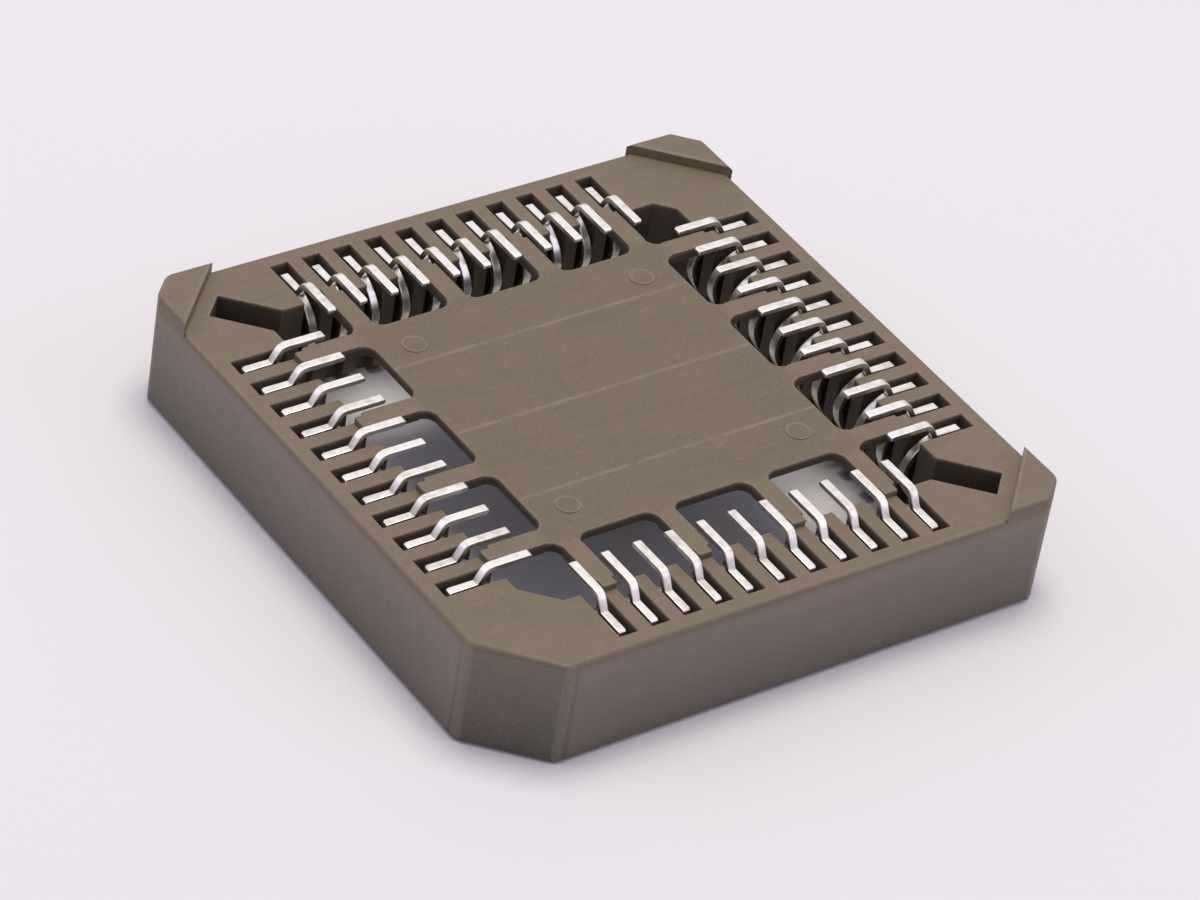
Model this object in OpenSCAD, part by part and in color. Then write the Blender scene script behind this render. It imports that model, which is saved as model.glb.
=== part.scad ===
// Surface-mount chip carrier socket: one moulded housing and a ring of blanked spring contacts.
// It lies rim down, with its board side up. The index corner is at -X -Y. Millimetres.

/* [Contact pattern] */
// Contacts on each side
per_side = 11; // [8:3:14]
// Spacing of the contacts along a side
pitch = 1.27; // [1.2:0.01:1.5]
// Contacts that share one floor window
window_contacts = 3; // [2:1:4]

/* [Frame] */
// Distance from an end contact's centre line to the outside wall beyond it
corner_margin = 5.05; // [4.7:0.05:6]
// Wall thickness from the outside to the chip cavity
wall_t = 2.95; // [2.85:0.05:3.3]
// Height from the rim to the board face
frame_h = 4.15; // [4:0.05:5]
// Corner cut outside at the index corner
index_cut = 2.4; // [1.5:0.1:3]
// Corner cut outside at the other three corners
corner_cut = 0.9; // [0.4:0.1:1.5]
// Edge break round the rim and the board face
edge_break = 0.15; // [0.05:0.01:0.25]
// Height of the feet above the board face
foot_h = 0.42; // [0.36:0.01:0.6]
// Length of a foot along each wall of its corner
foot_leg = 2.75; // [2.2:0.05:3.2]
// Edge break on the inner top edge of a foot
foot_break = 0.06; // [0.03:0.01:0.3]

/* [Chip cavity] */
// Thickness of the floor panel
floor_t = 0.4; // [0.35:0.05:0.8]
// Step from the board face up to the floor panel
floor_rise = 0.25; // [0.1:0.05:0.3]
// Corner cut of the cavity at the index corner
cavity_index_cut = 1.1; // [0.9:0.1:1.4]
// Corner cut of the cavity at the other three corners
cavity_corner_cut = 0.6; // [0.2:0.05:0.7]
// Lead-in chamfer round the mouth of the cavity
lead_in = 0.45; // [0.2:0.05:0.5]
// Depth behind the cavity wall of the pockets for the chip's leads
lead_room = 0.5; // [0.45:0.01:0.55]
// Height of the lip that covers the ends of the spring arms
lip_h = 0.8; // [0.6:0.05:1]

/* [Floor windows] */
// Width of the ribs between the windows
rib_w = 0.74; // [0.6:0.02:0.8]
// Length of a rib that runs onto the frame
rib_seat = 0.25; // [0.1:0.05:0.4]
// Rounding of the window corners beside the floor panel
window_r = 0.45; // [0.1:0.05:0.6]

/* [Extraction slots] */
// Width of the two extraction slots
tool_slot_w = 1.2; // [0.8:0.05:1.4]
// Land between an extraction slot and the foot beside it
tool_slot_land = 0.55; // [0.3:0.05:0.9]

/* [Contacts] */
// Thickness of the strip that the contacts are blanked from
strip_t = 0.32; // [0.25:0.01:0.4]
// Thickness of the solder tail in the plane of the strip
tail_t = 0.22; // [0.16:0.01:0.28]
// Reach of the solder tail in from the lead pocket
tail_reach = 1.63; // [1.3:0.05:1.9]
// Distance from the lead pocket in to the tail's elbow
elbow_in = 0.12; // [0.05:0.01:0.25]
// Run of the tail's slope outwards from its elbow
tail_run = 0.6; // [0.45:0.01:0.65]
// Depth of the base below the board face
base_drop = 0.17; // [0.1:0.01:0.35]
// Height of the base in the plane of the strip
base_t = 0.45; // [0.35:0.01:0.55]
// Reach of the base behind the lead pocket
base_reach = 1.5; // [1.4:0.01:1.6]
// Corner break at the heel of the base
heel_break = 0.08; // [0.03:0.01:0.12]
// Width of the spring arm at its root
arm_w = 0.28; // [0.22:0.01:0.32]
// Width of the spring arm at its free end
arm_end_w = 0.2; // [0.15:0.01:0.24]
// Bow of the spring arm in from the back of the lead pocket
arm_bow = 0.78; // [0.5:0.01:0.9]
// Height of the touch point above the rim
touch_h = 2.7; // [2.4:0.05:2.9]
// Width of the retention post
post_w = 0.5; // [0.4:0.01:0.55]
// Length of the retention post below the base
post_l = 1.95; // [1.4:0.05:2.2]
// Reach of the barbs on the retention post
barb = 0.05; // [0.03:0.01:0.08]

/* [Contact slots] */
// Width of the slots round the base, the spring arm and a lead
slot_w = 0.7; // [0.6:0.02:0.8]
// Reach of the slots into the ribs at the edge of the chip cavity
slot_mouth = 0.1; // [0.05:0.01:0.15]
// Depth of the spring arm's slot behind the lead pocket
arm_room = 0.67; // [0.64:0.01:0.75]
// Gap between the end of the base and the end of its slot
base_gap = 0.3; // [0.1:0.01:0.4]
// Gap between the end of a spring arm and the lip, and between it and the back of its slot
arm_gap = 0.25; // [0.15:0.01:0.3]
// Clearance round a retention post in its pocket
post_fit = 0.03; // [0.01:0.01:0.05]

/* [Moulding marks] */
// Diameter of the ejector pads on the floor panel
ejector_d = 0.9; // [0.6:0.1:2]
// Height of the ejector pads
ejector_h = 0.03; // [0.02:0.01:0.1]
// Distance of the ejector pads from the edges of the floor panel
ejector_inset = 1.38; // [1.1:0.02:2]
// Width of the raised insert lines across the floor panel
line_w = 0.12; // [0.06:0.01:0.2]
// Height of the raised insert lines
line_h = 0.02; // [0.01:0.01:0.06]

/* [Hidden] */
housing_colour = "#7F7365";
contact_colour = "#D6D4CC";
// Overlap of shapes that are joined or cut
eps = 0.02;
curve_steps = 8;
contacts = 4 * per_side;

// Half widths, measured from the middle of the socket
span = (per_side - 1) * pitch;
body_half = span / 2 + corner_margin;
cavity_half = body_half - wall_t;
pocket_half = cavity_half + lead_room;
floor_half = (span - pitch + rib_w) / 2;

// Distances along the diagonal from the middle to the foot and to the ends of an extraction slot
foot_line = (2 * body_half - foot_leg) / sqrt(2);
tool_slot_start = (2 * cavity_half - cavity_corner_cut) / sqrt(2) - tool_slot_w / 2;
tool_slot_end = foot_line - tool_slot_land;

// Heights above the rim
seat_z = frame_h + foot_h;
floor_top = frame_h + floor_rise;
floor_z = floor_top - floor_t;
base_top = frame_h - base_drop;
base_z = base_top - base_t;
post_z = base_z - post_l;

// Ribs stand midway between contacts, round each group that shares a window
windows = ceil((per_side - 2) / window_contacts);
rib_places = [for (w = [0 : windows]) (min(1 + w * window_contacts, per_side - 1) - 1 / 2) * pitch - span / 2];

// The narrowest window limits the rounding of all of them
narrow_window = rib_places[windows] - rib_places[windows - 1] - rib_w;
window_round = min(window_r, narrow_window / 2 - eps);

function contact_name(n) = str("contact_", n < 10 ? "0" : "", n);

// A square with its corners cut, the index corner by its own amount
function cut_square(half, cut, index) = [
    [index - half, -half], [half - cut, -half],
    [half, cut - half], [half, half - cut],
    [half - cut, half], [cut - half, half],
    [-half, half - cut], [-half, index - half]
];

// The corner cut that keeps the cut face parallel when a cut square grows by d
function grown_cut(cut, d) = cut + d * (2 - sqrt(2));

function bezier(p) = [
    for (i = [0 : curve_steps])
        let (t = i / curve_steps, u = 1 - t)
        u * u * u * p[0] + 3 * u * u * t * p[1] + 3 * u * t * t * p[2] + t * t * t * p[3]
];

// One edge of a strip that follows a path and tapers from width w0 to w1
function strip_edge(path, w0, w1, side) =
    let (last = len(path) - 1)
    [
        for (i = [0 : last])
            let (
                run = path[min(i + 1, last)] - path[max(i - 1, 0)],
                half = side * (w0 + (w1 - w0) * i / last) / 2
            )
            path[i] + half * [-run[1], run[0]] / norm(run)
    ];

function reversed(list) = [for (i = [1 : len(list)]) list[len(list) - i]];

// Where an edge crosses height z
function crossing(edge, z) = [lookup(z, [for (q = edge) [q[1], q[0]]]), z];

// The solder tail runs level from its round inner end to the elbow, then slopes down to the base
tail_z = seat_z - tail_t / 2;
tail_inner = [tail_t / 2 - tail_reach, tail_z];
tail_path = concat([tail_inner], bezier([
    [-elbow_in, tail_z],
    [tail_run / 2 - elbow_in, tail_z],
    [tail_run / 2 - elbow_in, base_top + tail_t / 2],
    [tail_run - elbow_in, base_top - tail_t]
]));
tail_over = strip_edge(tail_path, tail_t, tail_t, 1);
tail_under = strip_edge(tail_path, tail_t, tail_t, -1);
tail_end = [for (a = [240 : -30 : 120]) tail_inner + tail_t / 2 * [cos(a), sin(a)]];

// The spring arm leaves the base inwards, bows past the lead pocket and tucks its end behind the lip
arm_root = [arm_room - arm_w, base_top - base_t / 2];
arm_apex = [arm_w / 2 - arm_bow, touch_h];
arm_end = [arm_room - arm_gap - arm_end_w, lip_h + arm_gap];
arm_rise = arm_root[1] - touch_h;
arm_fall = touch_h - arm_end[1];
arm_upper = bezier([
    arm_root, arm_root - [arm_rise / 3, 0],
    arm_apex + [0, arm_rise / 2], arm_apex
]);
arm_lower = bezier([
    arm_apex, arm_apex - [0, arm_fall / 3],
    [(arm_apex[0] + arm_end[0]) / 2, arm_end[1] + arm_fall / 3], arm_end
]);
arm_path = concat(arm_upper, [for (i = [1 : curve_steps]) arm_lower[i]]);
arm_outer = strip_edge(arm_path, arm_w, arm_end_w, 1);
arm_inner = strip_edge(arm_path, arm_w, arm_end_w, -1);

// The tail and the arm part here
crotch = [tail_path[curve_steps][0] - tail_t / 2, base_top - tail_t / 2];

// The retention post, down its barbed outer edge and up its plain inner edge
post_x = base_reach - post_w;
post_point = post_w / 4;
barb_run = 4 * barb;
barb_corners = [[0, 0], [barb, 0], [barb, -barb], [0, -barb_run]];
post_outline = concat(
    [for (quarter = [3, 2], corner = barb_corners) [base_reach, post_z + quarter * post_l / 4] + corner],
    [[base_reach, post_z + 2 * post_point], [base_reach - post_point, post_z]],
    [[post_x + post_point, post_z], [post_x, post_z + 2 * post_point], [post_x, base_z]]
);

// The whole blank, measured outwards from the back of the lead pocket and upwards from the rim
contact_outline = concat(
    [for (q = tail_over) if (q[1] > base_top) q],
    [crossing(tail_over, base_top)],
    [[base_reach - heel_break, base_top], [base_reach, base_top - heel_break]],
    post_outline,
    [crossing(arm_outer, base_z)],
    [for (q = arm_outer) if (q[1] < base_z) q],
    reversed([for (q = arm_inner) if (q[0] < crotch[0] && q[1] < crotch[1]) q]),
    [crotch],
    reversed([for (q = tail_under) if (q[1] > crotch[1]) q]),
    tail_end
);

// Carries a shape to contact n. Number 1 is midway along a side next to the index corner,
// and the count runs past that corner and on round the socket.
module at_contact(n) {
    i = (n + floor(per_side / 2) - 1) % contacts;
    rotate(-90 * floor(i / per_side))
        translate([span / 2 - (i % per_side) * pitch, 0, 0])
            children();
}

// Stands a profile on edge: its x runs outwards from the middle of the socket, its y upwards
module on_edge(t) {
    rotate([90, 0, -90]) linear_extrude(t, center = true) children();
}

// A rectangle in that profile, placed from the back of the lead pocket and the rim
module profile_box(x0, x1, z0, z1) {
    translate([pocket_half + x0, z0]) square([x1 - x0, z1 - z0]);
}

module contact(n) {
    color(contact_colour) at_contact(n) on_edge(strip_t)
        translate([pocket_half, 0]) polygon(contact_outline);
}

// Room for one contact and the lead it touches: a pocket for the lead from the rim up, a slot
// behind it for the spring arm, a longer one above for the base, and a close pocket for the post
module contact_slot() {
    on_edge(slot_w) {
        profile_box(-lead_room - slot_mouth, eps, -eps, base_z + eps);
        profile_box(0, arm_room, lip_h, base_z + eps);
        profile_box(-lead_room - slot_mouth, base_reach + base_gap, base_z, floor_top + eps);
    }
    on_edge(strip_t + 2 * post_fit)
        profile_box(post_x - post_fit, base_reach + barb, post_z - post_fit, base_z + eps);
}

// The outside of the housing, raised to a height, with its edges broken at both ends
module block(top) {
    diamond = edge_break * sqrt(2);
    walls = [for (a = [0, 90, 180, 270]) [a, body_half]];
    corners = [for (a = [45, 135, 225, 315])
        [a, (2 * body_half - (a == 225 ? index_cut : corner_cut)) / sqrt(2)]];
    difference() {
        linear_extrude(top) polygon(cut_square(body_half, corner_cut, index_cut));
        for (edge = concat(walls, corners), z = [0, top])
            rotate(edge[0]) translate([edge[1], 0, z]) rotate([0, 45, 0])
                cube([diamond, 2 * body_half, diamond], center = true);
    }
}

module frame() {
    difference() {
        block(frame_h);
        chip_cavity();
    }
}

// The cavity goes right through: the floor panel and its ribs bridge it
module chip_cavity() {
    outline = cut_square(cavity_half, cavity_corner_cut, cavity_index_cut);
    mouth = cut_square(cavity_half + lead_in, grown_cut(cavity_corner_cut, lead_in),
        grown_cut(cavity_index_cut, lead_in));
    translate([0, 0, -eps]) linear_extrude(frame_h + 2 * eps) polygon(outline);
    hull() {
        translate([0, 0, -eps]) linear_extrude(eps) polygon(mouth);
        linear_extrude(lead_in) polygon(outline);
    }
}

// Feet fill every corner but the index corner, from below the edge break up to the seat plane
module feet() {
    reach = foot_leg / sqrt(2);
    profile = [
        [0, frame_h - edge_break], [0, seat_z - foot_break], [foot_break + eps, seat_z + eps],
        [reach, seat_z + eps], [reach, frame_h - edge_break]
    ];
    intersection() {
        block(seat_z);
        for (turn = [45, 135, 315])
            rotate(turn) translate([foot_line, 0, 0]) rotate([90, 0, 0])
                linear_extrude(2 * foot_leg, center = true) polygon(profile);
    }
}

// The floor panel with its ribs, and a fillet in each corner between them
module floor_outline() {
    offset(r = -window_round, $fn = 32) offset(delta = window_round) {
        square(2 * floor_half, center = true);
        for (side = [0 : 3], t = rib_places)
            rotate(90 * side) translate([t - rib_w / 2, 0]) square([rib_w, cavity_half + rib_seat]);
    }
}

// The floor stands above the board face and carries the ejector pads and the insert lines
module floor_panel() {
    pad_place = floor_half - ejector_inset;
    translate([0, 0, floor_z]) linear_extrude(floor_t) floor_outline();
    for (side = [0 : 3])
        rotate(90 * side) translate([pad_place, pad_place, floor_top - eps])
            cylinder(d = ejector_d, h = ejector_h + eps, $fn = 48);
    for (row = [-1 : 1])
        translate([-floor_half, row * window_contacts * pitch - line_w / 2, floor_top - eps])
            cube([2 * floor_half, line_w, line_h + eps]);
}

// Slots on the diagonal through the two corners beside the index corner
module extraction_slots() {
    for (turn = [135, 315])
        rotate(turn) translate([tool_slot_start, -tool_slot_w / 2, -eps])
            cube([tool_slot_end - tool_slot_start, tool_slot_w, frame_h + 2 * eps]);
}

module housing() {
    color(housing_colour) difference() {
        union() {
            frame();
            floor_panel();
            feet();
        }
        extraction_slots();
        for (n = [1 : contacts]) at_contact(n) contact_slot();
    }
}

housing();
for (n = [1 : contacts])
    contact(n);
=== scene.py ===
# %% [markdown]
# A surface-mount chip carrier socket, lying on its rim with its board side up. A brown moulded housing
# carries a ring of tin-plated spring contacts, and the light falls through the windows of its floor. The
# CAD model gives every size and place. Blender softens the edges and gives the plastic and the metal their
# surfaces.

# %% Load the frame
import math

import bmesh
import bpy
from mathutils import Matrix, Vector


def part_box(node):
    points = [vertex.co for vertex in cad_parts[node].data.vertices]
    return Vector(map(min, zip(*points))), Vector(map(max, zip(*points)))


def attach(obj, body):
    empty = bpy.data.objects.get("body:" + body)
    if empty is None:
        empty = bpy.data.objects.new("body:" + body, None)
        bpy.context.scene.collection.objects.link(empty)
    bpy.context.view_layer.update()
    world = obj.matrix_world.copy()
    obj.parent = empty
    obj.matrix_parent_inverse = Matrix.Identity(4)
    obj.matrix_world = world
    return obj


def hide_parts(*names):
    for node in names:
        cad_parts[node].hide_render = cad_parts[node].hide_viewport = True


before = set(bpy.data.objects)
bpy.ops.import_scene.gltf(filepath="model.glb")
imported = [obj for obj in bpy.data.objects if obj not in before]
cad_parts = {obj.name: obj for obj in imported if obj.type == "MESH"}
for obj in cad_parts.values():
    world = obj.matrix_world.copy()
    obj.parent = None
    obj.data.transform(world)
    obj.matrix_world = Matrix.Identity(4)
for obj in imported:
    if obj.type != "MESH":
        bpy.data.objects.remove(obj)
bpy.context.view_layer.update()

MM = 0.001

# %% [markdown]
# The camera comes first, because every later judgement is made through it. A photograph of a small product
# is taken from about a hand's span away with a long lens, so lines that run away from us hardly converge. A
# constraint could aim the camera, but it would leave out the roll. So its axes are worked out here: it
# stands in front of the index corner, looks down on the socket and is rolled a little, so that the rows of
# contacts climb to the right.

# %% Where the camera stands
AZIMUTH, ELEVATION, ROLL = (math.radians(a) for a in (-40.15, 37.08, 9.83))
DISTANCE = 190 * MM
# The middle of the board side
LOOK_AT = Vector((0, 0, 4 * MM))


def way_to(azimuth, elevation):
    """The direction from the socket to what stands at these angles round it and above it."""
    return Vector((
        math.sin(azimuth) * math.cos(elevation),
        -math.cos(azimuth) * math.cos(elevation),
        math.sin(elevation),
    ))


back = way_to(AZIMUTH, ELEVATION)
eye = LOOK_AT + back * DISTANCE
print("camera at", [round(c / MM, 1) for c in eye], "mm")

# %% What the camera is aimed at
LENS_MM = 168.8
SENSOR_MM = 36
FRAME_PX = (1200, 900)
# Where the middle of the board side lies in the picture
LOOK_AT_PX = (604.2, 397)

level_right = Vector((math.cos(AZIMUTH), math.sin(AZIMUTH), 0))
level_up = back.cross(level_right)
right = level_right * math.cos(ROLL) + level_up * math.sin(ROLL)
up = level_up * math.cos(ROLL) - level_right * math.sin(ROLL)
px_at_object = DISTANCE * SENSOR_MM / (LENS_MM * FRAME_PX[0])
aim = (
    LOOK_AT
    - right * (LOOK_AT_PX[0] - FRAME_PX[0] / 2) * px_at_object
    - up * (FRAME_PX[1] / 2 - LOOK_AT_PX[1]) * px_at_object
)
print("a pixel covers", round(px_at_object / MM, 4), "mm of the socket")

# %% Camera
CLIP_START = 10 * MM

z_axis = (eye - aim).normalized()
x_axis = (right - z_axis * right.dot(z_axis)).normalized()
y_axis = z_axis.cross(x_axis)
camera = bpy.data.objects.new("camera", bpy.data.cameras.new("camera"))
camera.data.lens = LENS_MM
camera.data.sensor_width = SENSOR_MM
camera.data.clip_start = CLIP_START
camera.matrix_world = Matrix.Translation(eye) @ Matrix((x_axis, y_axis, z_axis)).transposed().to_4x4()
bpy.context.scene.collection.objects.link(camera)
bpy.context.scene.camera = camera
print("camera with a lens of", LENS_MM, "mm, rolled", round(math.degrees(ROLL), 2), "degrees")

# %% [markdown]
# A few small helpers serve every material. One turns a colour that is written as on a paint chart into the
# linear light that the renderer adds up. One adds a node with its settings and its links, so that a tree
# reads like a recipe. The last two give a texture's scale for a real size, and a material with nothing in
# it but its output.

# %% Colours
def linear(hex_colour):
    """An sRGB hex colour as linear RGBA."""
    channels = [int(hex_colour[i:i + 2], 16) / 255 for i in (1, 3, 5)]
    return tuple(c / 12.92 if c <= 0.04045 else ((c + 0.055) / 1.055) ** 2.4 for c in channels) + (1.0,)


print("half-way grey in linear light:", round(linear("#808080")[0], 3))

# %% Nodes
def add(tree, kind, inputs=(), **settings):
    """Adds a node. Inputs are pairs of a socket and a value, or of a socket and the output linked to it."""
    made = tree.nodes.new(kind)
    for name, value in settings.items():
        setattr(made, name, value)
    for socket, value in inputs:
        if isinstance(value, bpy.types.NodeSocket):
            tree.links.new(value, made.inputs[socket])
        else:
            made.inputs[socket].default_value = value
    return made


def per_metre(size_mm):
    """The texture scale at which one cell or wave measures size_mm on Object coordinates."""
    return 1 / (size_mm * MM)


def new_material(name):
    """A material with only an output, and its tree."""
    material = bpy.data.materials.new(name)
    material.use_nodes = True
    tree = material.node_tree
    tree.nodes.clear()
    return material, tree, add(tree, "ShaderNodeOutputMaterial")


print("a pattern of 1 mm has the scale", round(per_metre(1)))

# %% [markdown]
# The housing is moulded from natural brown polyphenylene sulphide, filled with short glass fibres. One flat
# colour would look like a drawing of it, and a picture wrapped round it would stretch on the walls. So its
# finish is made of layers of texture on Object coordinates, each with its size in millimetres. The first
# layer is the body of the plastic: two browns in soft clouds, with darker streaks along the way that the
# melt flowed.

# %% Plastic: clouds and streaks
PLASTIC_BROWN = "#776857"
PLASTIC_OLIVE = "#726853"
PLASTIC_DARK = "#67594D"
MOTTLE_MM = 2.6
# Noise runs from 0 to 1, and a range says between which of its values a mark sets in
MOTTLE_RANGE = (0.4, 0.62)
# A streak is long along x, and thin across
STREAK_MM = (4, 0.35, 0.6)
STREAK_RANGE = (0.3, 0.6)
STREAK_SHARE = 0.3


def streaked_brown(tree, place):
    """The colour of the body of the plastic."""
    mottle = add(tree, "ShaderNodeTexNoise", [
        ("Vector", place), ("Scale", per_metre(MOTTLE_MM)), ("Detail", 3), ("Roughness", 0.6)])
    hue = add(tree, "ShaderNodeMapRange", [
        ("Value", mottle.outputs[0]), ("From Min", MOTTLE_RANGE[0]), ("From Max", MOTTLE_RANGE[1])])
    body = add(tree, "ShaderNodeMix", [
        ("Factor", hue.outputs[0]), ("A", linear(PLASTIC_BROWN)), ("B", linear(PLASTIC_OLIVE))],
        data_type="RGBA")
    stretched = add(tree, "ShaderNodeMapping", [
        ("Vector", place), ("Scale", [per_metre(s) for s in STREAK_MM])])
    streak = add(tree, "ShaderNodeTexNoise", [
        ("Vector", stretched.outputs[0]), ("Scale", 1), ("Detail", 3), ("Roughness", 0.55)])
    shade = add(tree, "ShaderNodeMapRange", [
        ("Value", streak.outputs[0]), ("From Min", STREAK_RANGE[0]), ("From Max", STREAK_RANGE[1]),
        ("To Min", STREAK_SHARE), ("To Max", 0.0)])
    tone = add(tree, "ShaderNodeMix", [
        ("Factor", shade.outputs[0]), ("A", body.outputs["Result"]), ("B", linear(PLASTIC_DARK))],
        data_type="RGBA")
    return tone.outputs["Result"]


print("plastic: clouds of", MOTTLE_MM, "mm, streaks of", STREAK_MM[0], "by", STREAK_MM[1], "mm")

# %% [markdown]
# Some marks follow from where a point lies on the moulding. They could be painted on the points of the
# mesh, but they are finer than the mesh is. So the material works them out from Object coordinates and from
# sizes of the CAD model. The floor panel is the first such place: it came out a little browner than the
# frame.

# %% Plastic: where a point lies
def measured(tree, place):
    """A point's x, y and z, its distances off the middle along x and y, and their larger and their sum."""
    x, y, z = add(tree, "ShaderNodeSeparateXYZ", [(0, place)]).outputs
    off_x = add(tree, "ShaderNodeMath", [(0, x)], operation="ABSOLUTE").outputs[0]
    off_y = add(tree, "ShaderNodeMath", [(0, y)], operation="ABSOLUTE").outputs[0]
    reach = add(tree, "ShaderNodeMath", [(0, off_x), (1, off_y)], operation="MAXIMUM").outputs[0]
    across = add(tree, "ShaderNodeMath", [(0, off_x), (1, off_y)], operation="ADD").outputs[0]
    return {"x": x, "y": y, "z": z, "off x": off_x, "off y": off_y, "reach": reach, "across": across}


housing_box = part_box("housing")
print("the marks lie on a housing", round((housing_box[1][2] - housing_box[0][2]) / MM, 2), "mm high")

# %% Plastic: floor panel
PANEL_TINT = "#EDEEE6"
FLOOR_TOP = 4.4 * MM
FLOOR_HALF = 6.085 * MM
# The tint fades out over this distance past the panel, and ends this far below its top
PANEL_FADE = 0.5 * MM
PANEL_SKIN = 0.05 * MM


def on_floor_panel(tree, at):
    """1 on top of the floor panel, fading to 0 past its edge."""
    panel = add(tree, "ShaderNodeMapRange", [
        ("Value", at["reach"]), ("From Min", FLOOR_HALF), ("From Max", FLOOR_HALF + PANEL_FADE),
        ("To Min", 1), ("To Max", 0)], interpolation_type="SMOOTHSTEP")
    upper = add(tree, "ShaderNodeMath", [
        (0, at["z"]), (1, FLOOR_TOP - PANEL_SKIN)], operation="GREATER_THAN")
    return add(tree, "ShaderNodeMath", [
        (0, panel.outputs[0]), (1, upper.outputs[0])], operation="MULTIPLY").outputs[0]


print("floor panel:", round(2 * FLOOR_HALF / MM, 2), "mm square")

# %% [markdown]
# The inserts of the moulding tool leave seams across the panel, and its ejector pins leave rings. Rubbed
# clean, they show as pale traces, and a seam is broken up where it was rubbed less. They could be cut into
# the mesh, but a seam is only a few hundredths of a millimetre high. So the distance to the nearest seam or
# pin draws them.

# %% Plastic: seam lines
SEAM_SPACING = 3.81 * MM
SEAM_HALF = 0.13 * MM
BREAK_MM = 1.1
BREAK_RANGE = (0.3, 0.6)


def seam_lines(tree, place, at):
    """1 along a seam, less where it is broken up."""
    from_seam = add(tree, "ShaderNodeMath", [(0, at["off y"]), (1, SEAM_SPACING / 2)], operation="PINGPONG")
    seam = add(tree, "ShaderNodeMapRange", [
        ("Value", from_seam.outputs[0]), ("From Min", 0), ("From Max", SEAM_HALF),
        ("To Min", 1), ("To Max", 0)], interpolation_type="SMOOTHSTEP")
    rubbing = add(tree, "ShaderNodeTexNoise", [
        ("Vector", place), ("Scale", per_metre(BREAK_MM)), ("Detail", 3), ("Roughness", 0.6)])
    left = add(tree, "ShaderNodeMapRange", [
        ("Value", rubbing.outputs[0]), ("From Min", BREAK_RANGE[0]), ("From Max", BREAK_RANGE[1])])
    return add(tree, "ShaderNodeMath", [
        (0, seam.outputs[0]), (1, left.outputs[0])], operation="MULTIPLY").outputs[0]


print("seams:", 1 + 2 * math.floor(FLOOR_HALF / SEAM_SPACING), "across the panel")

# %% Plastic: pin rings
PIN_PLACE = 4.705 * MM
PIN_RADIUS = 0.42 * MM
PIN_RIM = 0.09 * MM
RIM_SHARE = 0.3
SEAM_SHARE = 0.42


def pin_rings(tree, at):
    """How pale a point is by the ring of the nearest ejector pin."""
    aside = add(tree, "ShaderNodeCombineXYZ", [("X", at["off x"]), ("Y", at["off y"])])
    from_pin = add(tree, "ShaderNodeVectorMath", [
        (0, aside.outputs[0]), (1, (PIN_PLACE, PIN_PLACE, 0))], operation="DISTANCE")
    from_ring = add(tree, "ShaderNodeMath", [
        (0, from_pin.outputs["Value"]), (1, PIN_RADIUS)], operation="SUBTRACT")
    off_ring = add(tree, "ShaderNodeMath", [(0, from_ring.outputs[0])], operation="ABSOLUTE")
    return add(tree, "ShaderNodeMapRange", [
        ("Value", off_ring.outputs[0]), ("From Min", 0), ("From Max", PIN_RIM),
        ("To Min", RIM_SHARE), ("To Max", 0)], interpolation_type="SMOOTHSTEP").outputs[0]


def pale_traces(tree, place, at, on_panel):
    """How pale the seams and the pins make a point of the floor panel."""
    both = add(tree, "ShaderNodeMath", [
        (0, seam_lines(tree, place, at)), (1, SEAM_SHARE), (2, pin_rings(tree, at))],
        operation="MULTIPLY_ADD")
    return add(tree, "ShaderNodeMath", [
        (0, both.outputs[0]), (1, on_panel)], operation="MULTIPLY").outputs[0]


print("pin rings:", round(2 * PIN_RADIUS / MM, 2), "mm across")

# %% [markdown]
# The slots and windows get painted shade, a dark colour that stands for the shadow falling in them. An
# Ambient Occlusion node could find such places, but it is slow and grainy, so the depth below the top faces
# stands for it. The painted shade is left off the rim and off what faces down.

# %% Plastic: within a square
def within(tree, at, half, corner):
    """1 inside a square with its corners cut off."""
    in_square = add(tree, "ShaderNodeMath", [(0, at["reach"]), (1, half)], operation="LESS_THAN")
    in_cut = add(tree, "ShaderNodeMath", [(0, at["across"]), (1, corner)], operation="LESS_THAN")
    return add(tree, "ShaderNodeMath", [
        (0, in_square.outputs[0]), (1, in_cut.outputs[0])], operation="MULTIPLY").outputs[0]


# Half the width and the corner cut of the part where the floor is on top, and of all between the outer walls
CAVITY = (8.43 * MM, 15.75 * MM)
WALLS = (11.1 * MM, 20 * MM)
print("between the walls:", round(2 * WALLS[0] / MM, 1), "mm, cavity:", round(2 * CAVITY[0] / MM, 2), "mm")

# %% Plastic: painted shade in the slots
SLOT_SHADE_COLOUR = "#3E342E"
SLOT_SHADE_SHARE = 0.72
# Depths below the top faces, upward parts of the normal and heights, between which the painted shade sets in
SLOT_SHADE_DEPTH = (0.05 * MM, 0.2 * MM)
SLOT_SHADE_FACING = (-0.7, -0.3)
SLOT_SHADE_HEIGHT = (0.2 * MM, 1.0 * MM)
FRAME_TOP = 4.15 * MM


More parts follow.
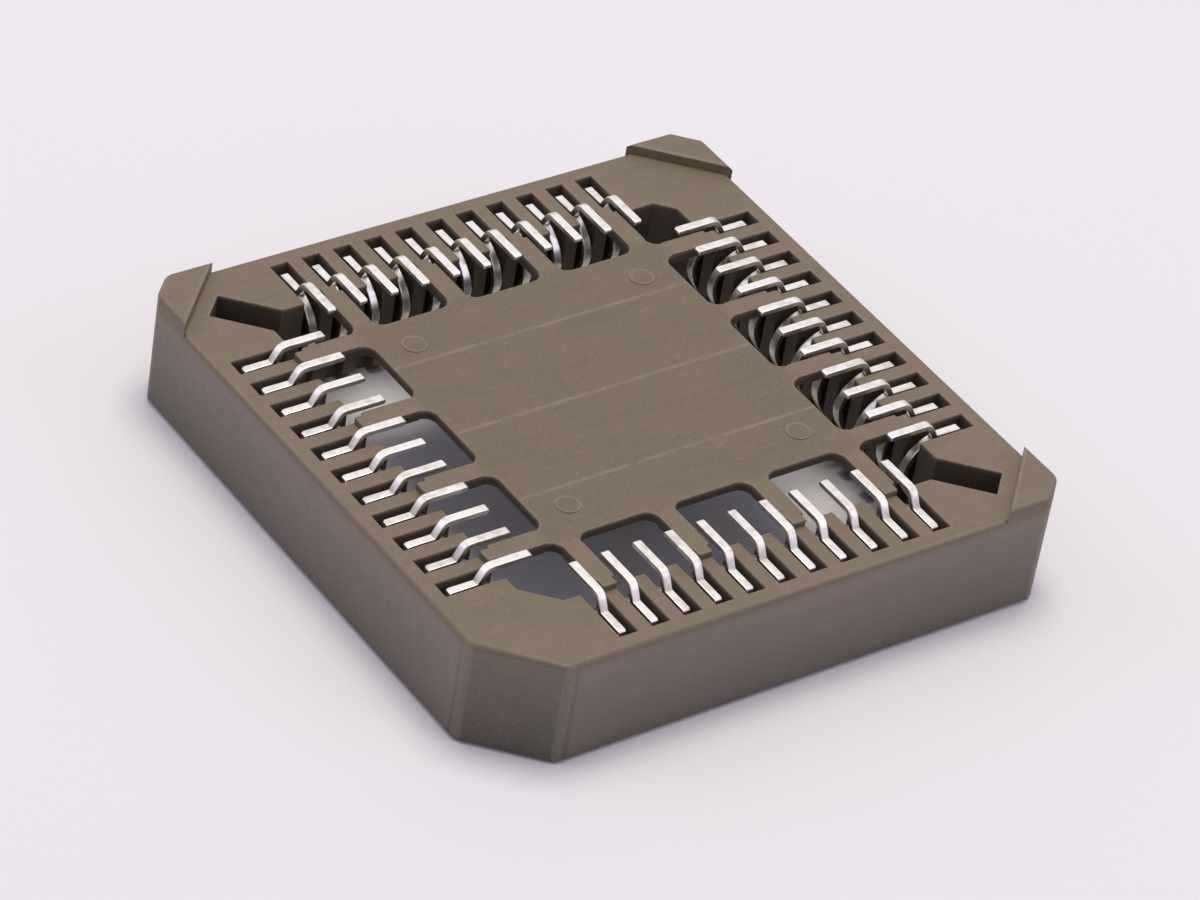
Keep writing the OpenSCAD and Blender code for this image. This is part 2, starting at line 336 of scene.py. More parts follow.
def painted_slot_shade(tree, at, normal, in_walls):
    """How much painted shade a point between the outer walls has."""
    top = add(tree, "ShaderNodeMath", [
        (0, within(tree, at, *CAVITY)), (1, FLOOR_TOP - FRAME_TOP), (2, FRAME_TOP)], operation="MULTIPLY_ADD")
    depth = add(tree, "ShaderNodeMath", [(0, top.outputs[0]), (1, at["z"])], operation="SUBTRACT")
    deep = add(tree, "ShaderNodeMapRange", [
        ("Value", depth.outputs[0]), ("From Min", SLOT_SHADE_DEPTH[0]), ("From Max", SLOT_SHADE_DEPTH[1]),
        ("To Min", 0), ("To Max", SLOT_SHADE_SHARE)], interpolation_type="SMOOTHSTEP")
    painted_shade = add(tree, "ShaderNodeMath", [(0, deep.outputs[0]), (1, in_walls)], operation="MULTIPLY")
    facing = add(tree, "ShaderNodeSeparateXYZ", [(0, normal)]).outputs[2]
    for measure, (clean, dark) in ((facing, SLOT_SHADE_FACING), (at["z"], SLOT_SHADE_HEIGHT)):
        kept = add(tree, "ShaderNodeMapRange", [("Value", measure), ("From Min", clean), ("From Max", dark)])
        painted_shade = add(tree, "ShaderNodeMath", [
            (0, painted_shade.outputs[0]), (1, kept.outputs[0])], operation="MULTIPLY")
    return painted_shade.outputs[0]


print("slot bloom: full from", round(SLOT_SHADE_DEPTH[1] / MM, 2), "mm below the top")

# %% [markdown]
# The outer walls get painted light: a bluish tint and a brightness that stand for the side light falling on
# them, so they look greyer than the top. The painted light is brightest at the top and darker towards the
# rim, and the face of the index corner gets painted shade. A second material could do this, but its border
# would show as a line. So the painted light follows the height, and fades out just below the top edge.

# %% Plastic: painted light on the outer walls
WALL_LIGHT_TINT = "#E0E7FF"
# The painted brightness at the rim and at the top, and the painted shade that the index face gets off it
WALL_VALUE = (0.9, 1.74)
INDEX_PAINTED_SHADE = -0.3
# The painted light fades out over this height below the top edge
WALL_FADE = 0.6 * MM


def painted_wall_light(tree, at, in_walls):
    """Where the painted light of the outer walls shows, and how bright it paints them."""
    below = add(tree, "ShaderNodeMapRange", [
        ("Value", at["z"]), ("From Min", FRAME_TOP - WALL_FADE), ("From Max", FRAME_TOP),
        ("To Min", 1), ("To Max", 0)], interpolation_type="SMOOTHSTEP")
    outside = add(tree, "ShaderNodeMath", [
        (0, below.outputs[0]), (1, in_walls)], operation="SUBTRACT", use_clamp=True)
    diagonal = add(tree, "ShaderNodeMath", [(0, at["x"]), (1, at["y"])], operation="ADD")
    index_face = add(tree, "ShaderNodeMath", [
        (0, diagonal.outputs[0]), (1, -WALLS[1])], operation="LESS_THAN")
    by_height = add(tree, "ShaderNodeMapRange", [
        ("Value", at["z"]), ("From Min", 0), ("From Max", FRAME_TOP),
        ("To Min", WALL_VALUE[0]), ("To Max", WALL_VALUE[1])])
    painted_brightness = add(tree, "ShaderNodeMath", [
        (0, index_face.outputs[0]), (1, INDEX_PAINTED_SHADE), (2, by_height.outputs[0])], operation="MULTIPLY_ADD")
    return outside.outputs[0], painted_brightness.outputs[0]


print("outer walls: from", WALL_VALUE[0], "at the rim to", WALL_VALUE[1], "at the top")

# %% [markdown]
# What is left is fine: fibre ends show as pale flecks, the rounded edges are paler, partly from wear and
# partly as a painted highlight where light would catch them, and the spark-eroded skin of the tool makes the
# plastic matte. Such edges could be guessed from the curvature of the mesh, but here the rounding knows its
# own faces and marks them with an attribute.

# %% Plastic: flecks, wear and a painted edge highlight
# A real fibre is about 0.01 mm thick, so its end is drawn as coarse as it needs to show
FLECK_MM = 0.12
FLECK_RANGE = (0.58, 0.75)
FLECK_SHARE = 0.25
# Rounded edges are paler, partly from wear and partly as a painted highlight
EDGE_WEAR_AND_SHEEN = 0.2


def pale_share(tree, place, traces):
    """How pale flecks, traces and the rounded edges, worn and with a painted highlight, make a point."""
    fleck = add(tree, "ShaderNodeTexNoise", [
        ("Vector", place), ("Scale", per_metre(FLECK_MM)), ("Detail", 2), ("Roughness", 0.5)])
    flecked = add(tree, "ShaderNodeMapRange", [
        ("Value", fleck.outputs[0]), ("From Min", FLECK_RANGE[0]), ("From Max", FLECK_RANGE[1]),
        ("To Max", FLECK_SHARE)])
    marked = add(tree, "ShaderNodeMath", [(0, flecked.outputs[0]), (1, traces)], operation="ADD")
    rounded_edge = add(tree, "ShaderNodeAttribute", attribute_name="rounded_edge").outputs["Fac"]
    return add(tree, "ShaderNodeMath", [
        (0, rounded_edge), (1, EDGE_WEAR_AND_SHEEN), (2, marked.outputs[0])], operation="MULTIPLY_ADD").outputs[0]


print("flecks of", FLECK_MM, "mm, wear of", EDGE_WEAR_AND_SHEEN)

# %% Plastic: skin
# Real spark erosion leaves craters of about 0.03 mm, so its grain is drawn as coarse as it needs to show
GRAIN_MM = 0.09
GRAIN_RANGE = (0.3, 0.7)
GRAIN_DEPTH = 0.02 * MM
PLASTIC_ROUGHNESS = (0.5, 0.66)
RIPPLE_MM = 0.7
RIPPLE_DEPTH = 0.05 * MM


def matte_skin(tree, place):
    """The roughness and the bumps of the skin."""
    grain = add(tree, "ShaderNodeTexNoise", [
        ("Vector", place), ("Scale", per_metre(GRAIN_MM)), ("Detail", 2), ("Roughness", 0.6)])
    rough = add(tree, "ShaderNodeMapRange", [
        ("Value", grain.outputs[0]), ("From Min", GRAIN_RANGE[0]), ("From Max", GRAIN_RANGE[1]),
        ("To Min", PLASTIC_ROUGHNESS[0]), ("To Max", PLASTIC_ROUGHNESS[1])])
    ripple = add(tree, "ShaderNodeTexNoise", [
        ("Vector", place), ("Scale", per_metre(RIPPLE_MM)), ("Detail", 2), ("Roughness", 0.5)])
    waves = add(tree, "ShaderNodeBump", [
        ("Height", ripple.outputs[0]), ("Strength", 0.15), ("Distance", RIPPLE_DEPTH)])
    skin = add(tree, "ShaderNodeBump", [
        ("Height", grain.outputs[0]), ("Strength", 0.35), ("Distance", GRAIN_DEPTH),
        ("Normal", waves.outputs[0])])
    return rough.outputs[0], skin.outputs[0]


print("skin: grain of", GRAIN_MM, "mm on ripples of", RIPPLE_MM, "mm")

# %% [markdown]
# Now the layers go on top of each other: body, panel, the painted light of the walls, pale marks and, last,
# the painted shade in the slots. One Principled shader takes the colour. It suits a filled plastic well,
# whose gloss is that of any plastic, with an index of refraction about 1.5.

# %% Glass-filled plastic
PLASTIC_PALE = "#9C9183"
PLASTIC_IOR = 1.5


def glass_filled_plastic():
    """Brown glass-filled polyphenylene sulphide as moulded: matte, streaked along its flow and flecked."""
    material, tree, output = new_material("glass-filled PPS, natural brown")
    coordinates = add(tree, "ShaderNodeTexCoord").outputs
    place = coordinates["Object"]
    at = measured(tree, place)
    on_panel = on_floor_panel(tree, at)
    in_walls = within(tree, at, *WALLS)
    outside, painted_brightness = painted_wall_light(tree, at, in_walls)
    pale = pale_share(tree, place, pale_traces(tree, place, at, on_panel))
    painted_shade = painted_slot_shade(tree, at, coordinates["Normal"], in_walls)
    rough, skin = matte_skin(tree, place)

    browner = add(tree, "ShaderNodeMix", [
        ("Factor", on_panel), ("A", streaked_brown(tree, place)), ("B", linear(PANEL_TINT))],
        data_type="RGBA", blend_type="MULTIPLY")
    # The walls' tint and brightness are painted light, with painted shade on the index face
    wall_light_tinted = add(tree, "ShaderNodeMix", [
        ("Factor", outside), ("A", browner.outputs["Result"]), ("B", linear(WALL_LIGHT_TINT))],
        data_type="RGBA", blend_type="MULTIPLY")
    toned = add(tree, "ShaderNodeHueSaturation", [
        ("Color", wall_light_tinted.outputs["Result"]), ("Fac", outside), ("Value", painted_brightness)])
    # Pale flecks, traces and edges, the edges partly worn and partly a painted highlight
    paled = add(tree, "ShaderNodeMix", [
        ("Factor", pale), ("A", toned.outputs[0]), ("B", linear(PLASTIC_PALE))], data_type="RGBA")
    # Painted shade goes on last, in the slots and windows
    colour = add(tree, "ShaderNodeMix", [
        ("Factor", painted_shade), ("A", paled.outputs["Result"]), ("B", linear(SLOT_SHADE_COLOUR))], data_type="RGBA")
    shader = add(tree, "ShaderNodeBsdfPrincipled", [
        ("Base Color", colour.outputs["Result"]), ("Roughness", rough),
        ("IOR", PLASTIC_IOR), ("Normal", skin)])
    tree.links.new(shader.outputs[0], output.inputs[0])
    return material


plastic = glass_filled_plastic()
print(plastic.name, "made of", len(plastic.node_tree.nodes), "nodes")

# %% [markdown]
# The contacts are blanked from phosphor-bronze strip and plated with tin, which is bright, a little warm
# and softly clouded rather than mirror-like. No two come out of the plating bath quite alike. Forty-four
# materials would be the long way to show that, so each contact carries a tone of its own, from which one
# material takes its shade.

# %% Tin plate
TIN = "#E6E3DC"
TIN_SHADE = "#C4BFB4"
CLOUD_MM = 0.35
TONE_SHARE = 0.2
TARNISH_RANGE = (0.55, 0.85)
GLOSS_RANGE = (0.3, 0.9)
TIN_ROUGHNESS = (0.26, 0.42)
# The pits of real plate measure about 0.005 mm, and are drawn as coarse as they need to show
PIT_MM = 0.06
PIT_DEPTH = 0.01 * MM


def tin_plate():
    """Satin electroplated tin over phosphor bronze: bright metal with clouded gloss and fine pits."""
    material, tree, output = new_material("tin plate on phosphor bronze")
    place = add(tree, "ShaderNodeTexCoord").outputs["Object"]
    cloud = add(tree, "ShaderNodeTexNoise", [
        ("Vector", place), ("Scale", per_metre(CLOUD_MM)), ("Detail", 3), ("Roughness", 0.55)])
    tone = add(tree, "ShaderNodeAttribute", attribute_name="tone").outputs["Fac"]
    dull = add(tree, "ShaderNodeMath", [
        (0, tone), (1, TONE_SHARE), (2, cloud.outputs[0])], operation="MULTIPLY_ADD")
    tarnish = add(tree, "ShaderNodeMapRange", [
        ("Value", dull.outputs[0]), ("From Min", TARNISH_RANGE[0]), ("From Max", TARNISH_RANGE[1])])
    colour = add(tree, "ShaderNodeMix", [
        ("Factor", tarnish.outputs[0]), ("A", linear(TIN)), ("B", linear(TIN_SHADE))], data_type="RGBA")
    rough = add(tree, "ShaderNodeMapRange", [
        ("Value", dull.outputs[0]), ("From Min", GLOSS_RANGE[0]), ("From Max", GLOSS_RANGE[1]),
        ("To Min", TIN_ROUGHNESS[0]), ("To Max", TIN_ROUGHNESS[1])])
    pit = add(tree, "ShaderNodeTexNoise", [
        ("Vector", place), ("Scale", per_metre(PIT_MM)), ("Detail", 2), ("Roughness", 0.5)])
    skin = add(tree, "ShaderNodeBump", [
        ("Height", pit.outputs[0]), ("Strength", 0.2), ("Distance", PIT_DEPTH)])
    shader = add(tree, "ShaderNodeBsdfPrincipled", [
        ("Base Color", colour.outputs["Result"]), ("Roughness", rough.outputs[0]),
        ("Metallic", 1.0), ("Normal", skin.outputs[0])])
    tree.links.new(shader.outputs[0], output.inputs[0])
    return material


tin = tin_plate()
print(tin.name, "made of", len(tin.node_tree.nodes), "nodes")

# %% [markdown]
# The housing is one moulding, and the CAD model has its shape with sharp edges, as loose triangles. It
# could be modelled afresh with soft edges, but then it would no longer be the part that was checked. So a
# copy is welded and rounded. The pin marks on the floor are so low that they stay as the CAD model has
# them. The seams are lower still and run up to the edge of the floor, where they would spoil its rounding,
# so they are pressed flat here and the material draws them.

# %% Housing: weld the copy and press the seams flat
# Points that lie closer than this are one
WELD = 0.001 * MM
SEAM_TOP = 4.42 * MM


def welded(node):
    """A CAD node's shape as a bmesh with its triangles joined."""
    shape = bmesh.new()
    shape.from_mesh(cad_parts[node].data)
    bmesh.ops.remove_doubles(shape, verts=shape.verts, dist=WELD)
    return shape


def on_mark(vert):
    """Whether a point lies on top of a seam or a pin mark of the floor."""
    return max(abs(vert.co.x), abs(vert.co.y)) < FLOOR_HALF + WELD and vert.co.z > FLOOR_TOP + WELD


housing_shape = welded("housing")
seam_points = [vert for vert in housing_shape.verts if on_mark(vert) and vert.co.z < SEAM_TOP + WELD]
for vert in seam_points:
    vert.co.z = FLOOR_TOP
bmesh.ops.remove_doubles(housing_shape, verts=housing_shape.verts, dist=WELD)
print("housing:", len(housing_shape.verts), "points after", len(seam_points), "were pressed flat")

# %% Housing: join the flat faces again
# Faces that bend less than this belong to one flat
FLAT_ANGLE = math.radians(0.3)


def joined_flat(shape):
    """The same bmesh without slivers, and with one face for each flat of the solid."""
    bmesh.ops.dissolve_degenerate(shape, edges=shape.edges, dist=WELD)
    bmesh.ops.dissolve_limit(shape, angle_limit=FLAT_ANGLE, verts=shape.verts, edges=shape.edges)
    return shape


triangle_count = len(housing_shape.faces)
joined_flat(housing_shape)
print("housing:", triangle_count, "triangles joined to", len(housing_shape.faces), "faces")

# %% [markdown]
# Neither a mould nor a blanking die leaves a knife edge, and it is the rounded edge that catches the light.
# A Bevel modifier could round all edges to one width, but on narrow ribs the roundings would run into each
# other. So each edge is asked for the room that the faces beside it have: across them, at their mitred
# ends, and along the edge itself, which gets shorter where the rounding goes on round a corner.

# %% Room across a face
# The share of a face's breadth that a rounding may take
ACROSS_SHARE = 0.4
# How far past the end of an edge a point still counts, as a multiple of its distance from the edge
MITRE = 1.2


def room_across(loop, start, way, length):
    """The room on one face beside an edge, in metres, up to the points opposite the edge."""
    inward = loop.face.normal.cross(loop.link_loop_next.vert.co - loop.vert.co).normalized()
    room = math.inf
    for vert in loop.face.verts:
        along = (vert.co - start).dot(way)
        aside = (vert.co - start).dot(inward)
        past = max(-along, along - length, 0)
        if aside > WELD and past < MITRE * aside:
            room = min(room, ACROSS_SHARE * aside)
    return room


print("a rounding takes up to", ACROSS_SHARE, "of the breadth of a face")

# %% Room beside an edge
# Edges that bend more than this are rounded
SHARP_ANGLE = math.radians(35)
# The share of an edge's length that a rounding may take
ALONG_SHARE = 0.8


def room_along(loop, length):
    """The room along an edge, in metres, where the rounding goes on round the corners of one face."""
    shorter = 0
    ends = ((loop, loop.link_loop_prev.edge), (loop.link_loop_next, loop.link_loop_next.edge))
    for corner, other in ends:
        if other.calc_face_angle_signed() > SHARP_ANGLE:
            turn = math.pi - corner.calc_angle()
            shorter += math.tan(turn / 2) * (1 if corner.is_convex else -1)
    return ALONG_SHARE * length / shorter if shorter > 0 else math.inf


def room_mm(edge):
    """The widest rounding, in millimetres, for which the faces beside an edge have room."""
    start, end = (vert.co for vert in edge.verts)
    length = (end - start).length
    way = (end - start) / length
    rooms = [room_across(loop, start, way, length) for loop in edge.link_loops]
    rooms += [room_along(loop, length) for loop in edge.link_loops]
    return min(rooms) / MM


outward = [edge for edge in housing_shape.edges if edge.calc_face_angle_signed() > SHARP_ANGLE]
least_room = min(room_mm(edge) for edge in outward)
print("housing:", len(outward), "outward edges, the narrowest with room for", round(least_room, 3), "mm")

# %% [markdown]
# The modifier reads the width of each rounding from a weight on its edge. Outward edges get one, and inward
# edges none, because a tool is sharp there. An edge that the CAD model has already broken, with a narrow
# slanting face, would be cut twice. Such faces are marked instead, and only shade softly. On the housing
# the outside corners are the roundest, and the slots and windows have just the radius of a worn tool.

# %% Edges that are broken already
# A face that breaks an edge bends less than this from its neighbour, and its breadth lies between these
BROKEN_ANGLE = math.radians(60)
BROKEN_MM = (0.12, 0.22)


def mark_broken(shape):
    """Marks each narrow face beside a half-bent edge as one that breaks an edge."""
    broken = shape.faces.layers.int.new("broken")
    for face in shape.faces:
        half_bent = any(SHARP_ANGLE < edge.calc_face_angle_signed() < BROKEN_ANGLE for edge in face.edges)
        breadth_mm = 2 * face.calc_area() / face.calc_perimeter() / MM
        face[broken] = int(half_bent and BROKEN_MM[0] < breadth_mm < BROKEN_MM[1])
    print("faces that break an edge:", sum(face[broken] for face in shape.faces))
    return broken


# %% Weights for the rounding
# The rounding that a weight of 1 stands for
WIDEST_MM = 0.2
# A rounding with less room than this share of its width is left out
LEAST_SHARE = 0.6


def weighted(shape, name, width_mm):
    """A piece from a bmesh, with a weight on each outward edge for the width that width_mm(edge) wants."""
    for face in shape.faces:
        face.smooth = True
    broken = mark_broken(shape)
    weight = shape.edges.layers.float.new("bevel_weight_edge")
    for edge in shape.edges:
        whole = not any(face[broken] for face in edge.link_faces)
        if whole and edge.calc_face_angle_signed() > SHARP_ANGLE:
            wanted = width_mm(edge)
            width = min(wanted, room_mm(edge))
            edge[weight] = width / WIDEST_MM if width > LEAST_SHARE * wanted else 0
    piece = bpy.data.objects.new(name, bpy.data.meshes.new(name))
    shape.to_mesh(piece.data)
    shape.free()
    bpy.context.scene.collection.objects.link(piece)
    print(piece.name, "has", len(piece.data.polygons), "faces before it is rounded")
    return piece


# %% Housing: weights
BODY_HALF = 11.4 * MM
CORNER_ROUND_MM = 0.2
EDGE_ROUND_MM = 0.07
# How close to the outside a corner edge lies, and how much of an upright edge is height
OUTSIDE_SKIN = 0.2 * MM
UPRIGHT_SHARE = 0.5


def housing_width(edge):
    """Outside corners get the larger rounding, and the marks on the floor none."""
    if any(on_mark(vert) for vert in edge.verts):
        return 0
    a, b = (vert.co for vert in edge.verts)
    upright = abs(a.z - b.z) > UPRIGHT_SHARE * (a - b).length
    outside = all(max(abs(p.x), abs(p.y)) > BODY_HALF - OUTSIDE_SKIN for p in (a, b))
    return CORNER_ROUND_MM if upright and outside else EDGE_ROUND_MM


housing = weighted(housing_shape, "moulded_housing", housing_width)

# %% [markdown]
# A face shades flat only if all its corners share its normal, and a rounding shades round only if its
# corners take the normals of the two faces that it joins. The Weighted Normal modifier could guess this
# from the sizes of faces, but it draws diagonals on small ones. Here the rounding is known, so every corner
# gets its normal outright.

# %% Normals for the rounding
def flat_normal(vert, face, rounding):
    """The normal at a corner of a flat or gently curved surface."""
    # The list grows while it is walked, until no neighbour is left
    joined = [face]
    for here in joined:
        for edge in vert.link_edges:
            if here in edge.link_faces and edge.calc_face_angle() < SHARP_ANGLE:
                joined += [f for f in edge.link_faces if f not in joined and not f[rounding]]
    return sum((f.normal * f.calc_area() for f in joined), Vector()).normalized()


def corner_normal(vert, face, rounding):
    """The normal at a corner of any face. A rounding takes it from the flat face that it runs into there."""
    if not face[rounding]:
        return flat_normal(vert, face, rounding)
    flats = [f for f in vert.link_faces if not f[rounding]]
    nearest = max(flats, key=lambda f: f.normal.dot(face.normal), default=None)
    if nearest is not None and nearest.normal.dot(face.normal) > math.cos(BROKEN_ANGLE):
        return flat_normal(vert, nearest, rounding)
    return sum((f.normal for f in vert.link_faces if f[rounding]), Vector()).normalized()


def soft_normals(piece):
    """Lets flat faces shade flat, and each rounding from one neighbour's normal to the other's."""
    shape = bmesh.new()
    shape.from_mesh(piece.data)
    rounding = shape.faces.layers.float["rounded_edge"]
    normals = [corner_normal(vert, face, rounding) for face in shape.faces for vert in face.verts]
    shape.free()
    piece.data.normals_split_custom_set(normals)
    print(piece.name, "has normals for", len(normals), "corners")


# %% [markdown]
# The Bevel modifier now rounds by the weights. It can give its new faces a material of their own, which is a
# simple way to find them again: a second slot with the same material tells the rounding from the rest, and
# becomes the attribute by which the plastic paints its edges paler, partly as wear and partly as a painted
# highlight.

# %% A plain mesh
def plain_mesh(piece):
    """Turns what a piece's modifiers make into its own mesh, and removes them."""
    depsgraph = bpy.context.evaluated_depsgraph_get()
    made = bpy.data.meshes.new_from_object(
        piece.evaluated_get(depsgraph), preserve_all_data_layers=True, depsgraph=depsgraph)
    piece.modifiers.clear()
    piece.data = made
    print(piece.name, "made plain:", len(made.polygons), "faces")


# %% Housing: round the edges
HOUSING_SEGMENTS = 2


def round_edges(piece, material, segments):
    """Rounds the weighted edges and marks the faces of the rounding with an attribute."""
    broken = [mark.value for mark in piece.data.attributes["broken"].data]
    piece.data.materials.clear()
    piece.data.materials.append(material)
    piece.data.materials.append(material)
    piece.data.polygons.foreach_set("material_index", broken)
    bevel = piece.modifiers.new("rounding", "BEVEL")
    bevel.limit_method = "WEIGHT"
    bevel.width = WIDEST_MM * MM
    bevel.segments = segments
    bevel.use_clamp_overlap = False
    bevel.material = 1
    plain_mesh(piece)

    rounded_edge = piece.data.attributes.new("rounded_edge", "FLOAT", "FACE")
    rounded_edge.data.foreach_set("value", [float(face.material_index) for face in piece.data.polygons])
    piece.data.polygons.foreach_set("material_index", [0] * len(piece.data.polygons))
    piece.data.materials.pop(index=1)
    soft_normals(piece)


round_edges(housing, plastic, HOUSING_SEGMENTS)
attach(housing, "root")
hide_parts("housing")

# %% [markdown]
# The contacts are all one blank, cut from strip and pushed into the housing edgeways. Its edges come out of
# the die well rounded, apart from the barbed post, which has to bite into the plastic. Only one is
# prepared. It is the CAD model's first, which stands midway along a side.

# %% One contact
CONTACT_ROUND_MM = 0.05
POST_ROUND_MM = 0.02
# The post lies below this height and beyond this distance from the middle
POST_TOP = 3.5 * MM
POST_REACH = 9.9 * MM


def on_post(vert):
    """Whether a point of the first contact lies on its barbed post."""
    return vert.co.z < POST_TOP and -vert.co.y > POST_REACH


def contact_width(edge):
    """A post's edges are sharper than the rest."""
    return POST_ROUND_MM if any(on_post(vert) for vert in edge.verts) else CONTACT_ROUND_MM


ring = weighted(joined_flat(welded("contact_01")), "contact_ring", contact_width)

# %% [markdown]
# Geometry Nodes sets that contact round the socket. Array modifiers could do so too, but they could not
# give each contact a tone of its own. The tree numbers the contacts: a whole division by the count of a
# side says which side a contact is on, and the remainder says where on that side's line it is. Then the
# line is turned to its side.

# %% Places round the socket
SIDES = 4


def ring_places(tree, per_side, pitch):
    """How far each contact is moved from the middle of the first side, and how it is turned."""
    index = add(tree, "GeometryNodeInputIndex").outputs[0]
    sides = add(tree, "ShaderNodeMath", [(0, index), (1, per_side)], operation="DIVIDE")
    side = add(tree, "ShaderNodeMath", [(0, sides.outputs[0])], operation="FLOOR")
    angle = add(tree, "ShaderNodeMath", [
        (0, side.outputs[0]), (1, 2 * math.pi / SIDES)], operation="MULTIPLY")
    along = add(tree, "ShaderNodeMath", [(0, index), (1, per_side)], operation="MODULO")
    last = add(tree, "ShaderNodeMath", [(0, per_side), (1, 1)], operation="SUBTRACT")
    middle = add(tree, "ShaderNodeMath", [(0, last.outputs[0]), (1, 2)], operation="DIVIDE")
    step = add(tree, "ShaderNodeMath", [(0, along.outputs[0]), (1, middle.outputs[0])], operation="SUBTRACT")
    offset = add(tree, "ShaderNodeMath", [(0, step.outputs[0]), (1, pitch)], operation="MULTIPLY")
    on_line = add(tree, "ShaderNodeCombineXYZ", [("X", offset.outputs[0])])
    place = add(tree, "ShaderNodeVectorRotate", [
        ("Vector", on_line.outputs[0]), ("Angle", angle.outputs[0])], rotation_type="Z_AXIS")
    turn = add(tree, "ShaderNodeCombineXYZ", [("Z", angle.outputs[0])])
    return place.outputs[0], turn.outputs[0]


contact_names = sorted(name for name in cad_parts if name.startswith("contact_"))
print("contacts:", len(contact_names), "on", SIDES, "sides")

# %% Contact ring tree
def contact_ring_tree():
    """Repeats one contact along a side and on all four sides."""
    tree = bpy.data.node_groups.new("contact ring", "GeometryNodeTree")
    sockets = {}
    for name, kind in (
        ("Contact", "Geometry"), ("Contacts per side", "Int"), ("Pitch", "Float"),
        ("Seed", "Int"), ("Finish", "Material"),
    ):
        sockets[name] = tree.interface.new_socket(name, in_out="INPUT", socket_type="NodeSocket" + kind)
    tree.interface.new_socket("Ring", in_out="OUTPUT", socket_type="NodeSocketGeometry")
    given = add(tree, "NodeGroupInput").outputs
    per_side = given["Contacts per side"]

    place, turn = ring_places(tree, per_side, given["Pitch"])
    total = add(tree, "ShaderNodeMath", [(0, per_side), (1, SIDES)], operation="MULTIPLY")
    points = add(tree, "GeometryNodePoints", [("Count", total.outputs[0]), ("Position", place)])
    placed = add(tree, "GeometryNodeInstanceOnPoints", [
        ("Points", points.outputs[0]), ("Instance", given["Contact"]), ("Rotation", turn)])
    tone = add(tree, "FunctionNodeRandomValue", [("Seed", given["Seed"])], data_type="FLOAT")
    toned = add(tree, "GeometryNodeStoreNamedAttribute", [
        ("Geometry", placed.outputs[0]), ("Name", "tone"), ("Value", tone.outputs["Value"])],
        data_type="FLOAT", domain="INSTANCE")
    real = add(tree, "GeometryNodeRealizeInstances", [("Geometry", toned.outputs[0])])
    plated = add(tree, "GeometryNodeSetMaterial", [
        ("Geometry", real.outputs[0]), ("Material", given["Finish"])])
    add(tree, "NodeGroupOutput", [("Ring", plated.outputs[0])])
    return tree, sockets


ring_tree, ring_sockets = contact_ring_tree()
print(ring_tree.name, "tree made of", len(ring_tree.nodes), "nodes")

# %% Contact ring
PITCH = 1.27 * MM
TONE_SEED = 11
CONTACT_SEGMENTS = 3

repeat = ring.modifiers.new("contact ring", "NODES")
repeat.node_group = ring_tree
for name, value in (
    ("Contacts per side", len(contact_names) // SIDES), ("Pitch", PITCH),
    ("Seed", TONE_SEED), ("Finish", tin),
):
    repeat[ring_sockets[name].identifier] = value
plain_mesh(ring)
round_edges(ring, tin, CONTACT_SEGMENTS)
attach(ring, "root")
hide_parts(*contact_names)

# %% [markdown]
# The socket lies on a plain pale table. A sheet of paper could be curved up behind it, as a photographer
# does, but a wide flat disc looks the same from every side and keeps the socket's shadow.

# %% Floor
FLOOR = "#EBEDF4"
FLOOR_ROUGHNESS = 0.85
FLOOR_RADIUS = 1.5
FLOOR_POINTS = 96


def pale_floor():
    """Matte paper under the socket."""
    bpy.ops.mesh.primitive_circle_add(radius=FLOOR_RADIUS, vertices=FLOOR_POINTS, fill_type="NGON")
    floor = bpy.context.object
    floor.name = "floor"
    material, tree, output = new_material("matte paper")
    shader = add(tree, "ShaderNodeBsdfPrincipled", [
        ("Base Color", linear(FLOOR)), ("Roughness", FLOOR_ROUGHNESS)])
    tree.links.new(shader.outputs[0], output.inputs[0])
    floor.data.materials.append(material)
    print(floor.name, "of", material.name, "with a radius of", FLOOR_RADIUS, "m")


pale_floor()

# %% [markdown]
# The light is that of a small tent: a broad softbox overhead, one at each side, and one behind for the
# gloss of the tails. A lamp's power says little about how bright things come out, so each lamp is set by
# how brightly it would light a white card that faces it. Then the sum can be kept at the level where a
# colour looks as it is written.

# %% Softboxes
LAMP_DISTANCE = 0.3
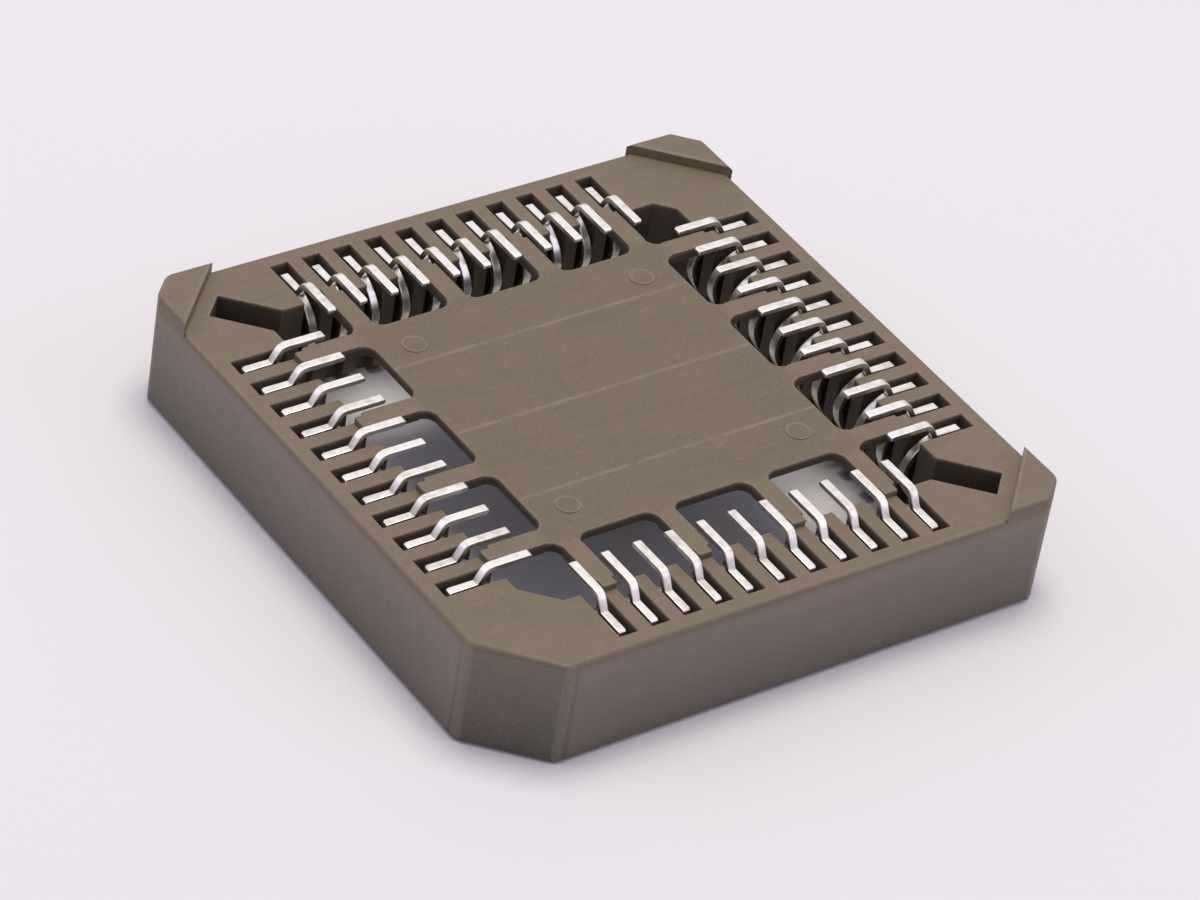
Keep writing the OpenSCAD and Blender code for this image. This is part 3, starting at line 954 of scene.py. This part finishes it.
# Name, degrees round the socket and above it, size in metres, level and colour
SOFTBOXES = (
    ("overhead", 140, 84, 0.15, 0.64, "#FFF3E2"),
    ("left side", -132, 34, 0.2, 0.155, "#E2DCFF"),
    ("right side", 44, 34, 0.2, 0.13, "#E2DCFF"),
    ("behind", 139.85, 38, 0.22, 0.045, "#FFFDF8"),
)


def softbox(name, azimuth, elevation, size, level, colour):
    """A square lamp that lights a white card facing it to the given level."""
    lamp = bpy.data.objects.new(name, bpy.data.lights.new(name, "AREA"))
    lamp.data.size = size
    lamp.data.energy = level * math.pi ** 2 * LAMP_DISTANCE ** 2
    lamp.data.color = linear(colour)[:3]
    way = way_to(math.radians(azimuth), math.radians(elevation))
    lamp.location = LOOK_AT + way * LAMP_DISTANCE
    lamp.rotation_euler = way.to_track_quat("Z", "Y").to_euler()
    lamp.visible_camera = False
    bpy.context.scene.collection.objects.link(lamp)
    print(name, "softbox:", round(lamp.data.energy, 3), "W")


for row in SOFTBOXES:
    softbox(*row)

# %% [markdown]
# The cloth of the tent lights the socket faintly from all round. What shines sees the cloth as bright as it
# looks, and so does the camera. The two could be set alike, but then the shadows in the slots would be
# lost, so the Light Path node tells them apart.

# %% Light tent
SKY = "#ECE8F3"
SKY_LEVEL = 0.38
TENT_LEVEL = 1.0

world = bpy.data.worlds.new("light tent")
world.use_nodes = True
bpy.context.scene.world = world
sky_tree = world.node_tree
sky_tree.nodes.clear()
path = add(sky_tree, "ShaderNodeLightPath").outputs
shone = add(sky_tree, "ShaderNodeMath", [(0, path["Is Glossy Ray"]), (1, TENT_LEVEL)], operation="MULTIPLY")
seen = add(sky_tree, "ShaderNodeMath", [
    (0, path["Is Camera Ray"]), (1, shone.outputs[0])], operation="MAXIMUM")
strength = add(sky_tree, "ShaderNodeMath", [(0, seen.outputs[0]), (1, SKY_LEVEL)], operation="MAXIMUM")
sky = add(sky_tree, "ShaderNodeBackground", [("Color", linear(SKY)), ("Strength", strength.outputs[0])])
sky_output = add(sky_tree, "ShaderNodeOutputWorld")
sky_tree.links.new(sky.outputs[0], sky_output.inputs[0])
bpy.context.scene.view_settings.view_transform = "Standard"
print(world.name, "lights at", SKY_LEVEL, "and shines at", TENT_LEVEL)
